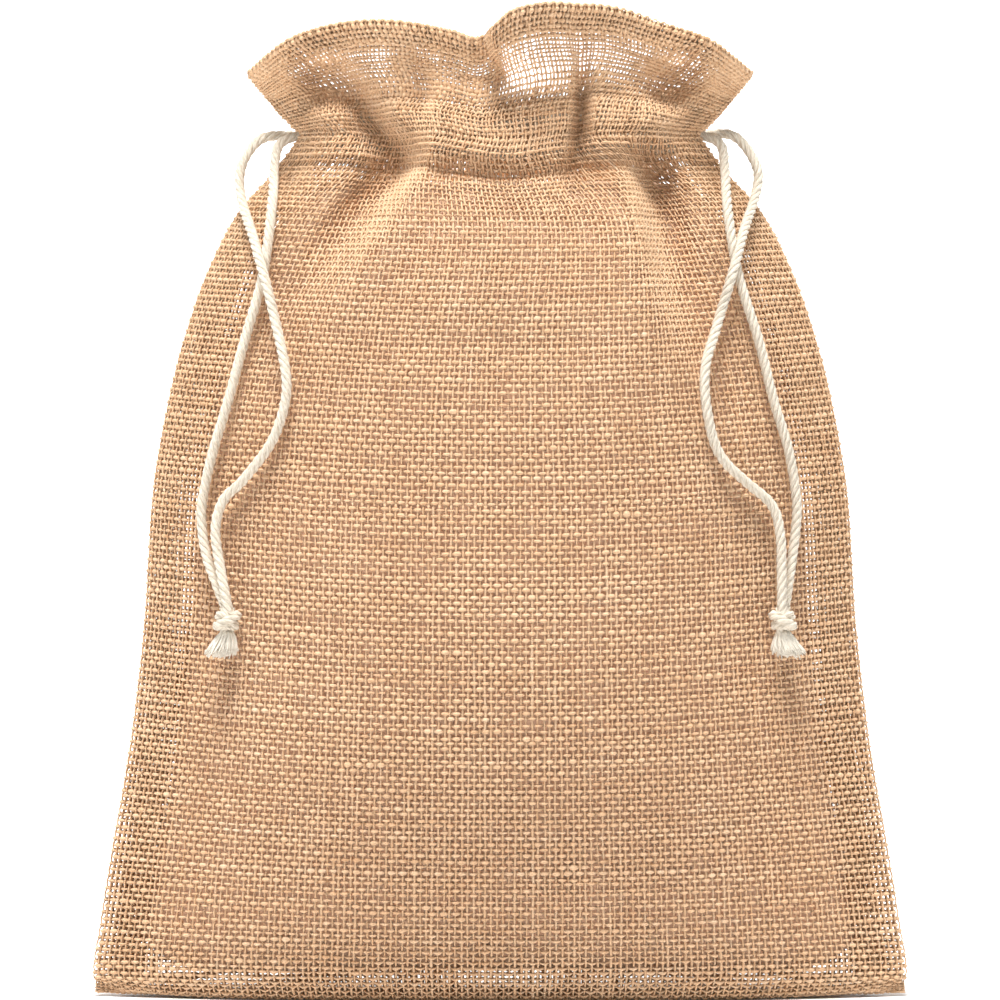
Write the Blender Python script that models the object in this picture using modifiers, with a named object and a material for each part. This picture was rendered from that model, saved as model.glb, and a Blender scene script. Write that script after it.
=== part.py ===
"""A drawstring gift pouch of woven jute, standing open and lightly filled, with two cotton draw cords.

The origin is on the ground under the middle of the pouch. +X is to the right seen from the front,
the front faces -Y, and +Z is up. All sizes are in metres.
"""

import math

import bmesh
import bpy
import numpy as np
from mathutils import Vector

NAME = "drawstring_gift_pouch"

CLOTH = 0.0012
STRIP = 0.0008
CORD = 0.0032
THREAD = 0.0007
GAP = 0.0004
SEAM_GAP = 0.00075
BASE_GAP = 0.0002

NECK_Z = 0.2645
NECK_HALF = 0.0607
FRILL_SPREAD = 0.0165
FRONT_LEAN = 0.013
BACK_LEAN = 0.022
SLIT_HALF_HEIGHT = 0.0115
SLIT_HALF_WIDTH = 0.0048
CASING_LOW = 0.2535
CASING_HIGH = 0.2755
CASING_HALF = 0.0325
GATHER_DEPTH = 0.0022
TUNNEL = 0.0064
CASING_CLEARANCE = 0.0012
TAIL = 0.027
TAIL_SIDE = 0.0023
LOOP_SPACING = 0.0037
LOOP_END = 0.0535
LEG_STEP = 0.009
CORD_STEP = 0.0078
LOWER_LINE = 0.2545
FRONT_UPPER_LINE = 0.28
BACK_UPPER_LINE = 0.34
HEM_LINE = 0.72
LINE_REACH = 0.93
SEAM_INSET = 0.0045

# The side outline, as height and half width, from the ground up to the neck.
OUTLINE = [
    (0.0, 0.1235),
    (0.006, 0.1243),
    (0.023, 0.1222),
    (0.045, 0.1187),
    (0.076, 0.1134),
    (0.110, 0.1093),
    (0.162, 0.1053),
    (0.202, 0.0967),
    (0.223, 0.0893),
    (0.243, 0.0785),
    (0.254, 0.0685),
    (NECK_Z, NECK_HALF),
]

# How far the middle of each panel stands out from the side seams, at the same heights.
BELLY = [
    (0.0, 0.020),
    (0.023, 0.029),
    (0.045, 0.035),
    (0.076, 0.0425),
    (0.110, 0.0475),
    (0.162, 0.0495),
    (0.202, 0.0475),
    (0.223, 0.042),
    (0.243, 0.033),
    (0.254, 0.0265),
    (NECK_Z, 0.0205),
]

# The rim's height across each panel, from the left seam to the right one.
FRONT_RIM = [
    (-1.0, 0.285),
    (-0.83, 0.2925),
    (-0.55, 0.300),
    (-0.28, 0.300),
    (-0.05, 0.2955),
    (0.17, 0.3045),
    (0.50, 0.3045),
    (0.74, 0.298),
    (0.88, 0.291),
    (1.0, 0.285),
]
BACK_RIM = [(-1.0, 0.285), (-0.6, 0.289), (0.0, 0.2885), (0.6, 0.289), (1.0, 0.285)]

# Each leg's route beyond the neck, as x and z of its middle line.
LEFT_INNER = [
    (-0.0676, 0.2618),
    (-0.0693, 0.2550),
    (-0.0697, 0.2463),
    (-0.0712, 0.2325),
    (-0.0736, 0.2186),
    (-0.0789, 0.2002),
    (-0.0835, 0.1833),
    (-0.0881, 0.1679),
    (-0.0909, 0.1556),
    (-0.0918, 0.1464),
    (-0.0903, 0.1356),
    (-0.0870, 0.1262),
    (-0.0851, 0.1200),
]
LEFT_OUTER = [
    (-0.0722, 0.2640),
    (-0.0778, 0.2588),
    (-0.0801, 0.2518),
    (-0.0792, 0.2438),
    (-0.0758, 0.2330),
    (-0.0718, 0.2186),
    (-0.0681, 0.2048),
    (-0.0647, 0.1910),
    (-0.0650, 0.1817),
    (-0.0696, 0.1710),
    (-0.0789, 0.1587),
    (-0.0850, 0.1525),
    (-0.0875, 0.1433),
    (-0.0859, 0.1310),
    (-0.0835, 0.1200),
]
RIGHT_INNER = [
    (0.0676, 0.2618),
    (0.0691, 0.2540),
    (0.0699, 0.2417),
    (0.0733, 0.2217),
    (0.0795, 0.2017),
    (0.0841, 0.1833),
    (0.0887, 0.1679),
    (0.0912, 0.1525),
    (0.0909, 0.1433),
    (0.0892, 0.1300),
    (0.0880, 0.1200),
]
RIGHT_OUTER = [
    (0.0700, 0.2650),
    (0.0752, 0.2615),
    (0.0792, 0.2540),
    (0.0786, 0.2463),
    (0.0749, 0.2350),
    (0.0718, 0.2232),
    (0.0657, 0.2048),
    (0.0617, 0.1925),
    (0.0620, 0.1802),
    (0.0657, 0.1679),
    (0.0749, 0.1587),
    (0.0835, 0.1510),
    (0.0862, 0.1418),
    (0.0866, 0.1310),
    (0.0864, 0.1200),
]
KNOTS = {"left": (-0.0843, 0.1158), "right": (0.0872, 0.1158)}
KNOT_RADIUS = 0.0036
TASSEL_LENGTH = 0.0085


def smooth_curve(points, at):
    """A smooth curve through points given as position and value, read at any position."""
    where = np.array([p[0] for p in points])
    value = np.array([p[1] for p in points])
    slope = np.gradient(value, where)
    step = int(np.clip(np.searchsorted(where, at) - 1, 0, len(where) - 2))
    width = where[step + 1] - where[step]
    t = min(max((at - where[step]) / width, 0.0), 1.0)
    keep = 2 * t**3 - 3 * t**2 + 1
    lead = t**3 - 2 * t**2 + t
    trail = t**3 - t**2
    ends = keep * value[step] + (1 - keep) * value[step + 1]
    return float(ends + width * (lead * slope[step] + trail * slope[step + 1]))


def bulge(across):
    """The section's outline: 1 in the middle of a panel and 0 at its side seams."""
    return 1 - min(abs(across), 1.0) ** 2.3


def slit(z):
    """How far a panel's edge draws back from the side seam, around the hole for the cords."""
    reach = abs(z - NECK_Z) / SLIT_HALF_HEIGHT
    return SLIT_HALF_WIDTH * math.cos(min(reach, 1.0) * math.pi / 2) ** 0.7


def gathers(across, z):
    """Soft folds, strongest at the neck and fading into the belly."""
    strength = GATHER_DEPTH * math.exp(-(((z - NECK_Z) / 0.03) ** 2))
    return strength * math.cos(5 * math.pi * across) * (1 - across**4)


def belly_point(across, z):
    """A point on the front panel between the ground and the neck."""
    depth = smooth_curve(BELLY, z) * bulge(across) + gathers(across, z)
    edge = SEAM_GAP + slit(z) * abs(across) ** 12
    return Vector((across * smooth_curve(OUTLINE, z), -edge - depth, z))


def frill_point(across, up, rim, lean):
    """A point on the ruffle above the neck. up runs from 0 at the neck to 1 at the rim."""
    width = OUTLINE[-1][1] + FRILL_SPREAD * up**0.9
    z = NECK_Z + up * (smooth_curve(rim, across) - NECK_Z)
    depth = (BELLY[-1][1] + lean * up**1.3) * bulge(across) + gathers(across, z)
    ruffle = 0.004 * up * math.sin(7 * across + 0.6) * (1 - across**4)
    edge = SEAM_GAP + slit(z) * abs(across) ** 12
    return Vector((across * width, -edge - depth - ruffle, z))


def base_point(across, out):
    """A point on the flat base. out runs from 0 at the bottom seam to 1 where the wall begins."""
    seam = BASE_GAP + (SEAM_GAP - BASE_GAP) * abs(across) ** 8
    depth = smooth_curve(BELLY, 0.0) * bulge(across) * 0.9
    lift = 0.003 * out * abs(across) ** 10
    inset = 1 - 0.012 * (1 - out)
    return Vector((across * smooth_curve(OUTLINE, lift) * inset, -seam - out * depth, CLOTH / 2 + lift))


BASE_ROWS = 4
WALL_HEIGHTS = (
    [0.0042, 0.0085, 0.018]
    + [0.034 + 0.026 * step for step in range(7)]
    + [0.208, 0.2225, 0.2335, 0.2425, 0.2500, 0.2555, 0.2600, NECK_Z]
)
FRILL_ROWS = 6
PANEL_ROWS = BASE_ROWS + len(WALL_HEIGHTS) + FRILL_ROWS
PANEL_COLUMNS = 32


def panel_point(across, row, rim, lean):
    """The panel's surface, row by row: base, wall, then ruffle."""
    if row < BASE_ROWS:
        return base_point(across, row / (BASE_ROWS - 1))
    row -= BASE_ROWS
    if row < len(WALL_HEIGHTS):
        return belly_point(across, WALL_HEIGHTS[row])
    return frill_point(across, (row - len(WALL_HEIGHTS) + 1) / FRILL_ROWS, rim, lean)


def make_collection(name):
    collection = bpy.data.collections.new(name)
    bpy.context.scene.collection.children.link(collection)
    return collection


def make_material(name, colour, roughness):
    material = bpy.data.materials.new(name)
    material.use_nodes = True
    shader = material.node_tree.nodes["Principled BSDF"]
    shader.inputs["Base Color"].default_value = (*colour, 1)
    shader.inputs["Roughness"].default_value = roughness
    shader.inputs["Metallic"].default_value = 0
    return material


def add_object(name, data, material, parent=None):
    item = bpy.data.objects.new(name, data)
    data.materials.append(material)
    parts.objects.link(item)
    item.parent = parent
    return item


def cloth(name, columns, rows, place, thickness, material):
    """A woven sheet: a flat grid whose points are placed by column and row, then thickened."""
    mesh = bpy.data.meshes.new(name)
    shape = bmesh.new()
    bmesh.ops.create_grid(shape, x_segments=columns, y_segments=rows - 1, size=1)
    for vertex in shape.verts:
        row = round((vertex.co.y + 1) / 2 * (rows - 1))
        vertex.co = place(vertex.co.x, row)
    shape.to_mesh(mesh)
    shape.free()
    mesh.shade_smooth()
    item = add_object(name, mesh, material)
    solid = item.modifiers.new("thickness", "SOLIDIFY")
    solid.thickness = thickness
    solid.offset = 0
    solid.use_even_offset = True
    solid.thickness_clamp = 1
    return item


def tube(name, points, diameter, material, parent=None, roundness=2):
    """A round cord along a list of points, with closed ends."""
    curve = bpy.data.curves.new(name, "CURVE")
    curve.dimensions = "3D"
    curve.bevel_depth = diameter / 2
    curve.bevel_resolution = roundness
    curve.use_fill_caps = True
    line = curve.splines.new("POLY")
    line.points.add(len(points) - 1)
    origin = parent.location if parent else Vector()
    for point, place in zip(line.points, points, strict=True):
        point.co = (*(Vector(place) - origin), 1)
    return add_object(name, curve, material, parent)


def even_points(route, spacing):
    """Evenly spaced points on a smooth curve through the route's own points."""
    route = [Vector(p) for p in route]
    ends = [2 * route[0] - route[1], *route, 2 * route[-1] - route[-2]]
    fine = [route[0]]
    for before, start, end, after in zip(ends, ends[1:], ends[2:], ends[3:]):
        for step in range(1, 17):
            t = step / 16
            lead = (end - before) / 2
            trail = (after - start) / 2
            blend = 2 * t**3 - 3 * t**2 + 1
            fine.append(
                start * blend
                + end * (1 - blend)
                + lead * (t**3 - 2 * t**2 + t)
                + trail * (t**3 - t**2)
            )
    along = np.concatenate([[0], np.cumsum([(b - a).length for a, b in zip(fine, fine[1:])])])
    count = max(2, round(along[-1] / spacing) + 1)
    where = np.linspace(0, along[-1], count)
    xyz = np.array([tuple(p) for p in fine])
    return [Vector([float(np.interp(w, along, xyz[:, axis])) for axis in range(3)]) for w in where]


def front_face(x, z):
    """The front panel's y at a place on its face, level with the seam beyond its edge."""
    return belly_point(max(-1.0, min(1.0, x / smooth_curve(OUTLINE, z))), z).y


def resting_y(x, z, clearance):
    """The y of something that lies on the front of the belly with this clearance to the cloth."""
    step = 0.003
    slope_x = (front_face(x + step, z) - front_face(x - step, z)) / (2 * step)
    slope_z = (front_face(x, z + step) - front_face(x, z - step)) / (2 * step)
    return front_face(x, z) - clearance * math.sqrt(1 + min(slope_x**2 + slope_z**2, 3))


def make_panels(material):
    """The two panels of the pouch. The back one mirrors the front one, with a lower rim."""
    cloth(
        "front_panel",
        PANEL_COLUMNS,
        PANEL_ROWS,
        lambda across, row: panel_point(across, row, FRONT_RIM, FRONT_LEAN),
        CLOTH,
        material,
    )

    def back(across, row):
        point = panel_point(-across, row, BACK_RIM, BACK_LEAN)
        return Vector((point.x, -point.y, point.z))

    cloth("back_panel", PANEL_COLUMNS, PANEL_ROWS, back, CLOTH, material)


def neck_surface(across, z, rim, lean):
    """The front panel's surface near the neck, at a height that may be above or below it."""
    if z <= NECK_Z:
        return belly_point(across, z)
    up = (z - NECK_Z) / (smooth_curve(rim, across) - NECK_Z)
    return frill_point(across, up, rim, lean)


def inner_surface(across, z, inset, rim=FRONT_RIM, lean=FRONT_LEAN):
    """The panel's surface near the neck, moved straight back by inset."""
    return neck_surface(across, z, rim, lean) + Vector((0, inset, 0))


def make_casings(material):
    """The strips inside the neck that hold the cords, sewn along their top and bottom edges."""
    rows = 9
    closest = (CLOTH + STRIP) / 2 + CASING_CLEARANCE

    def strip_point(across, row, rim, lean):
        z = CASING_LOW + (CASING_HIGH - CASING_LOW) * row / (rows - 1)
        share = across * CASING_HALF / OUTLINE[-1][1]
        inset = closest + TUNNEL * abs(math.sin(math.pi * row / (rows - 1))) ** 0.5
        return inner_surface(share, z, inset, rim, lean)

    def back(across, row):
        point = strip_point(-across, row, BACK_RIM, BACK_LEAN)
        return Vector((point.x, -point.y, point.z))

    def front(across, row):
        return strip_point(across, row, FRONT_RIM, FRONT_LEAN)

    cloth("front_casing", 20, rows, front, STRIP, material)
    cloth("back_casing", 20, rows, back, STRIP, material)


def make_stitches(material):
    """The sewing: side and bottom seams inside, casing and hem lines outside."""
    for side, sign in (("left", -1), ("right", 1)):
        seam = []
        for step in range(13):
            z = 0.014 + 0.0183 * step
            seam.append((sign * (smooth_curve(OUTLINE, z) - SEAM_INSET), 0, z))
        tube(f"{side}_side_stitch", seam, THREAD, material, roundness=1)
        tip = [(sign * 0.0635, 0, 0.2758), (sign * 0.0700, 0, 0.2800), (sign * 0.0735, 0, 0.2835)]
        tube(f"{side}_frill_stitch", tip, THREAD, material, roundness=1)
    base_z = CLOTH + GAP + THREAD / 2
    base = [(-0.112 + 0.028 * step, 0, base_z) for step in range(9)]
    tube("bottom_stitch", base, THREAD, material, roundness=1)

    clear = CLOTH / 2 + THREAD / 2 + GAP
    for face, sign, rim, lean, upper in (
        ("front", 1, FRONT_RIM, FRONT_LEAN, FRONT_UPPER_LINE),
        ("back", -1, BACK_RIM, BACK_LEAN, BACK_UPPER_LINE),
    ):
        low = []
        high = []
        hem = []
        for step in range(33):
            across = LINE_REACH * (step / 16 - 1)
            low.append(belly_point(across, LOWER_LINE))
            high.append(frill_point(across, upper, rim, lean))
            hem.append(frill_point(across, HEM_LINE, rim, lean))
        for name, line in (("lower_casing", low), ("upper_casing", high), ("hem", hem)):
            points = []
            for before, at, after in zip([line[0], *line], line, [*line[1:], line[-1]]):
                run = after - before
                steep = math.sqrt(1 + (run.y / run.x) ** 2)
                points.append((at.x, sign * (at.y - clear * (steep + 0.35)), at.z))
            tube(f"{face}_{name}_stitch", points, THREAD, material, roundness=1)


def leg_points(side, route, lift, tail_y, drop):
    """A leg of a draw cord: its straight tail in the neck, then its route down the front.

    lift is the space under the leg where it crosses over the other one, and drop is how far
    below the neck the leg comes to rest on the cloth.
    """
    sign = -1 if side == "left" else 1
    points = [(sign * (NECK_HALF - TAIL + LEG_STEP * step), tail_y, NECK_Z) for step in range(4)]
    for x, z in route:
        free = max(0.0, 1 - (NECK_Z - z) / drop)
        rest = resting_y(x, z, CLOTH / 2 + CORD / 2 + GAP + lift)
        points.append((x, rest * (1 - free) + (tail_y * 1.2 - 0.0022) * free, z))
    return points


def make_knot(side, place, material, parent):
    """An overhand knot: two crossing wraps of cord around a core, joined into one body."""
    meshes = []
    for tilt, drop in ((0.42, 0.0010), (-0.42, -0.0010)):
        bpy.ops.mesh.primitive_torus_add(
            major_radius=0.0023, minor_radius=0.0014, major_segments=20, minor_segments=8
        )
        wrap = bpy.context.object
        wrap.rotation_euler = (0.15, tilt, 0)
        wrap.location = place + Vector((0, 0, drop))
        meshes.append(wrap)
    bpy.ops.mesh.primitive_uv_sphere_add(segments=16, ring_count=10, radius=0.0026)
    core = bpy.context.object
    core.location = place
    core.scale = (1.0, 0.9, 1.15)
    bpy.context.view_layer.update()
    for cutter in meshes:
        join = core.modifiers.new("join", "BOOLEAN")
        join.operation = "UNION"
        join.object = cutter
    graph = bpy.context.evaluated_depsgraph_get()
    mesh = bpy.data.meshes.new_from_object(core.evaluated_get(graph))
    mesh.transform(core.matrix_world)
    mesh.transform(parent.matrix_world.inverted())
    for item in (*meshes, core):
        bpy.data.objects.remove(item, do_unlink=True)
    mesh.materials.clear()
    add_object(f"{side}_knot", mesh, material, parent)


def make_tassel(side, place, material, parent):
    """The frayed ends below the knot: a short flared brush with a fluted section."""
    shape = bmesh.new()
    bmesh.ops.create_cone(
        shape,
        cap_ends=True,
        segments=24,
        radius1=0.0052,
        radius2=0.0022,
        depth=TASSEL_LENGTH,
    )
    for index, vertex in enumerate(sorted(shape.verts, key=lambda v: math.atan2(v.co.y, v.co.x))):
        flute = 0.88 if (index // 2) % 3 == 0 else 1.0
        vertex.co.x *= flute
        vertex.co.y *= flute * 0.55
    mesh = bpy.data.meshes.new(f"{side}_tassel")
    shape.to_mesh(mesh)
    shape.free()
    brush = add_object(f"{side}_tassel", mesh, material, parent)
    drop = KNOT_RADIUS + 0.0006 + TASSEL_LENGTH / 2
    brush.location = place - parent.location + Vector((0, 0, -drop))


def make_cords(material):
    """Each draw cord: two legs, a knot and a tassel that pull out together, and a loop in the casing."""
    for side, sign, inner, outer in (
        ("left", -1, LEFT_INNER, LEFT_OUTER),
        ("right", 1, RIGHT_INNER, RIGHT_OUTER),
    ):
        pull = bpy.data.objects.new(f"{side}_pull", None)
        pull.location = (sign * NECK_HALF, 0, NECK_Z)
        parts.objects.link(pull)
        bpy.context.view_layer.update()

        knot_x, knot_z = KNOTS[side]
        knot_y = resting_y(knot_x, knot_z, CLOTH / 2 + KNOT_RADIUS + 0.0006)
        place = Vector((knot_x, knot_y, knot_z))
        front = leg_points(side, inner, 0.0, -TAIL_SIDE, 0.016)
        back = leg_points(side, outer, CORD + GAP, TAIL_SIDE, 0.03)
        for points, shift in ((front, 0.0016), (back, -0.0022)):
            for index in range(len(points) - 4, len(points)):
                x, y, z = points[index]
                share = (index - len(points) + 5) / 4
                points[index] = (x, y * (1 - share) + (knot_y + shift) * share, z)
        tube(f"{side}_inner_leg", even_points(front, CORD_STEP), CORD, material, pull)
        tube(f"{side}_outer_leg", even_points(back, CORD_STEP), CORD, material, pull)
        make_knot(side, place, material, pull)
        make_tassel(side, place, material, pull)

        height = NECK_Z - sign * LOOP_SPACING
        middle = (CLOTH + CORD) / 2 + CASING_CLEARANCE
        runs = []
        for face, rim, lean in ((1, FRONT_RIM, FRONT_LEAN), (-1, BACK_RIM, BACK_LEAN)):
            run = []
            for step in range(15):
                across = sign * (0.109 * step - 0.82)
                point = inner_surface(across, height, middle, rim, lean)
                run.append((point.x, face * point.y, height))
            runs.append(run)
        loop = [*reversed(runs[0]), (-sign * LOOP_END, 0, height), *runs[1]]
        tube(f"{side}_cord_loop", even_points(loop, CORD_STEP), CORD, material)


for item in list(bpy.data.objects):
    bpy.data.objects.remove(item, do_unlink=True)
parts = make_collection(NAME)
jute = make_material("jute", (0.62, 0.39, 0.20), 0.9)
cotton = make_material("cotton_cord", (0.86, 0.80, 0.70), 0.85)
thread = make_material("thread", (0.66, 0.47, 0.28), 0.8)
make_panels(jute)
make_casings(jute)
make_stitches(thread)
make_cords(cotton)
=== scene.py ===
import math

import bpy
import numpy as np
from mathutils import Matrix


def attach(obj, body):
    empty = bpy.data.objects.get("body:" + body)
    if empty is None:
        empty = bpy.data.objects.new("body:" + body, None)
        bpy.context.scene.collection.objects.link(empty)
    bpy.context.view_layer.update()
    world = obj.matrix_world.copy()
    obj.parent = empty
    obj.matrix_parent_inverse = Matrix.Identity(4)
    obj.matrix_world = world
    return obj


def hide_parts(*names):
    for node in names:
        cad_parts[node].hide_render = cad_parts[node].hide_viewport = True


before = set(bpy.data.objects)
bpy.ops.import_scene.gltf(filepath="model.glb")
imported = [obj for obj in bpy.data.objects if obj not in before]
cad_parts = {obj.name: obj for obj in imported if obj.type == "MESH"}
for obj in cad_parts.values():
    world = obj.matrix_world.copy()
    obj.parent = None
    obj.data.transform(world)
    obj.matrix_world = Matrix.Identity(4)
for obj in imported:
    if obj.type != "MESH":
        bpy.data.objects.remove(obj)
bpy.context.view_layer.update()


pouch = {
    "outline": [  # height and half width of the side outline
        (0.0, 0.1235), (0.006, 0.1243), (0.023, 0.1222), (0.045, 0.1187), (0.076, 0.1134),
        (0.11, 0.1093), (0.162, 0.1053), (0.202, 0.0967), (0.223, 0.0893), (0.243, 0.0785),
        (0.254, 0.0685), (0.2645, 0.0607),
    ],
    "belly": [  # height and how far the middle of a panel stands out
        (0.0, 0.02), (0.023, 0.029), (0.045, 0.035), (0.076, 0.0425), (0.11, 0.0475),
        (0.162, 0.0495), (0.202, 0.0485), (0.223, 0.0452), (0.24, 0.0385), (0.2535, 0.028),
        (0.2645, 0.0245),
    ],
    "boxiness": [  # height and the power that squares off the section
        (0.0, 2.3), (0.2, 2.3), (0.235, 2.5), (0.2645, 2.8), (0.275, 2.2), (0.295, 1.8),
    ],
    "neck": 0.2645,
    "neckHalf": 0.0607,
    "spread": 0.0165,  # how much wider the ruffle is than the neck, on each side
    "seamGap": 0.0009,
    "slitHeight": 0.0115,
    "slitWidth": 0.0042,
    "sag": [(0.0, 0.0), (0.05, 0.003), (0.15, 0.0055), (0.22, 0.005), (0.25, 0.0025), (0.31, 0.0)],
}

ruffles = {
    "front": {
        "rim": [
            (-1.0, 0.2832), (-0.89, 0.2888), (-0.73, 0.2946), (-0.53, 0.297), (-0.32, 0.2956),
            (-0.19, 0.2935), (-0.08, 0.2918), (-0.035, 0.2938), (0.03, 0.2978), (0.15, 0.3007),
            (0.285, 0.3009), (0.46, 0.3004), (0.62, 0.297), (0.82, 0.2914), (1.0, 0.2832),
        ],
        "lean": 0.013,
        "power": 1.3,
        "overlap": [  # height and place of the edge where the right lobe lies over the left one
            (0.27, 0.0095), (0.2745, 0.0072), (0.28, 0.003), (0.289, -0.003), (0.305, -0.004),
        ],
    },
    "back": {
        "rim": [(-1.0, 0.2828), (-0.6, 0.28), (0.0, 0.277), (0.6, 0.28), (1.0, 0.2828)],
        "lean": 0.03,
        "power": 1.0,
    },
}

# Each fold is a groove (or, with a minus sign, a ridge) that runs down the cloth:
# height, place across, depth and half width at each of its points.
folds = {
    "front": [
        [  # the bulge of the neck band in the middle
            (0.28, -0.003, 0.0, 0.013), (0.272, -0.003, -0.0034, 0.014),
            (0.263, -0.002, -0.008, 0.015), (0.257, -0.001, -0.007, 0.015),
            (0.253, 0.0, -0.0012, 0.015), (0.25, 0.0, 0.0, 0.015),
        ],
        [  # the right end of the ruffle, curling forwards
            (0.297, 0.064, -0.0066, 0.009), (0.284, 0.064, -0.0044, 0.009),
            (0.275, 0.06, -0.0012, 0.008), (0.268, 0.058, 0.0, 0.007),
        ],
        [  # the same on the left
            (0.297, -0.065, -0.0066, 0.009), (0.284, -0.065, -0.0044, 0.009),
            (0.275, -0.061, -0.0012, 0.008), (0.268, -0.058, 0.0, 0.007),
        ],
        [  # the shelf of the broad middle panel, just under the neck band
            (0.262, 0.001, 0.0, 0.015), (0.256, 0.001, -0.003, 0.016),
            (0.248, 0.0005, -0.0064, 0.018), (0.238, 0.0, -0.0066, 0.021),
            (0.222, -0.001, -0.0036, 0.026), (0.2, -0.001, 0.0, 0.03),
        ],
        [  # the long left hollow
            (0.3, -0.05, 0.0, 0.006), (0.286, -0.0475, 0.0034, 0.005),
            (0.274, -0.0425, 0.0122, 0.0054), (0.266, -0.0385, 0.0165, 0.006),
            (0.258, -0.033, 0.019, 0.0066), (0.25, -0.035, 0.017, 0.0074),
            (0.242, -0.041, 0.0128, 0.0084), (0.23, -0.05, 0.008, 0.01),
            (0.216, -0.06, 0.004, 0.012), (0.2, -0.068, 0.002, 0.014),
            (0.18, -0.074, 0.0, 0.016),
        ],
        [  # the edge of the broad middle panel, left
            (0.284, -0.018, 0.0, 0.004), (0.27, -0.019, -0.0044, 0.0042),
            (0.255, -0.0205, -0.0058, 0.0048), (0.243, -0.0262, -0.0052, 0.0058),
            (0.23, -0.035, -0.0042, 0.0072), (0.216, -0.045, -0.0028, 0.009),
            (0.195, -0.056, 0.0, 0.011),
        ],
        [  # the narrow crease right of the middle
            (0.3, 0.0225, 0.0, 0.0026), (0.29, 0.0238, 0.0022, 0.0024),
            (0.278, 0.0248, 0.0065, 0.0024), (0.263, 0.024, 0.0088, 0.0028),
            (0.252, 0.0222, 0.0055, 0.0036), (0.238, 0.0205, 0.0, 0.005),
        ],
        [  # the bright ridge beside the right hollow
            (0.292, 0.03, 0.0, 0.004), (0.276, 0.0305, -0.0028, 0.0042),
            (0.262, 0.032, -0.004, 0.0046), (0.25, 0.0358, -0.0042, 0.005),
            (0.236, 0.0395, -0.0048, 0.0058), (0.222, 0.0425, -0.0042, 0.0066),
            (0.205, 0.0465, -0.0026, 0.008), (0.185, 0.054, 0.0, 0.01),
        ],
        [  # the deep right hollow
            (0.2625, 0.0455, 0.0, 0.005), (0.2585, 0.046, 0.0105, 0.005),
            (0.252, 0.047, 0.0175, 0.0056), (0.243, 0.049, 0.0172, 0.0062),
            (0.232, 0.0512, 0.0145, 0.0072), (0.22, 0.054, 0.0108, 0.0084),
            (0.206, 0.0585, 0.0064, 0.01), (0.19, 0.065, 0.0026, 0.012),
            (0.172, 0.072, 0.0, 0.015),
        ],
        [  # the bulge of the neck band over the right hollow
            (0.28, 0.044, 0.0, 0.008), (0.273, 0.044, -0.005, 0.008),
            (0.265, 0.044, -0.0066, 0.008), (0.26, 0.0445, -0.004, 0.008), (0.256, 0.045, 0.0, 0.008),
        ],
        [  # the same on the left
            (0.28, -0.053, 0.0, 0.006), (0.272, -0.053, -0.0036, 0.0065),
            (0.264, -0.0525, -0.004, 0.007), (0.255, -0.054, -0.002, 0.008),
            (0.235, -0.062, 0.0, 0.01),
        ],
        [  # dimple of the ruffle, right
            (0.29, 0.054, 0.0, 0.008), (0.284, 0.053, 0.009, 0.0078),
            (0.278, 0.0515, 0.0115, 0.0074), (0.274, 0.05, 0.006, 0.007), (0.27, 0.049, 0.0, 0.006),
        ],
        [  # dimple of the ruffle, left
            (0.29, -0.056, 0.0, 0.0074), (0.284, -0.0545, 0.009, 0.007),
            (0.278, -0.053, 0.0105, 0.0066), (0.274, -0.0525, 0.006, 0.006),
            (0.27, -0.052, 0.0, 0.0056),
        ],
        [  # soft hollow of the ruffle under the overlap
            (0.3, -0.006, 0.0, 0.008), (0.29, -0.005, 0.003, 0.008),
            (0.28, 0.0, 0.0042, 0.009), (0.272, 0.004, 0.002, 0.01),
            (0.262, 0.006, 0.0, 0.011),
        ],
        [  # small pleat left of the middle
            (0.292, -0.025, 0.0, 0.004), (0.284, -0.024, 0.0026, 0.0036),
            (0.274, -0.0225, 0.003, 0.0034), (0.266, -0.0215, 0.0, 0.0034),
        ],
    ],
    "back": [
        [(0.29, -0.04, 0.002, 0.006), (0.264, -0.036, 0.011, 0.006), (0.24, -0.042, 0.006, 0.009),
         (0.19, -0.05, 0.0, 0.014)],
        [(0.29, -0.016, 0.002, 0.005), (0.264, -0.012, 0.012, 0.0055), (0.24, -0.014, 0.006, 0.009),
         (0.2, -0.018, 0.0, 0.014)],
        [(0.29, 0.012, 0.002, 0.005), (0.264, 0.014, 0.0115, 0.005), (0.235, 0.016, 0.006, 0.009),
         (0.18, 0.022, 0.0, 0.015)],
        [(0.29, 0.042, 0.002, 0.006), (0.264, 0.038, 0.0105, 0.006), (0.235, 0.048, 0.006, 0.01),
         (0.18, 0.06, 0.0, 0.015)],
    ],
}


def smoothCurve(points, at):  # smooth curve through place and value pairs, read at an array of places
    table = np.array([p[:2] for p in points], float)
    if table[0, 0] > table[-1, 0]:
        table = table[::-1]
    where, value = table.T
    slope = np.gradient(value, where)
    at = np.clip(at, where[0], where[-1])
    step = np.clip(np.searchsorted(where, at) - 1, 0, len(where) - 2)
    width = where[step + 1] - where[step]
    t = (at - where[step]) / width
    keep = 2 * t**3 - 3 * t**2 + 1
    lead, trail = t**3 - 2 * t**2 + t, t**3 - t**2
    ends = keep * value[step] + (1 - keep) * value[step + 1]
    return ends + width * (lead * slope[step] + trail * slope[step + 1])


def easeIn(a, b, x):  # 0 below a, 1 above b, smooth between them
    t = np.clip((x - a) / (b - a), 0, 1)
    return t * t * (3 - 2 * t)


def unit(vectors):  # the same directions, one unit long
    return vectors / np.maximum(np.linalg.norm(vectors, axis=-1, keepdims=True), 1e-12)


def distanceAlong(line):  # how far each point lies along a line, from its first point
    return np.concatenate([[0], np.cumsum(np.linalg.norm(np.diff(line, axis=0), axis=1))])


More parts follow.
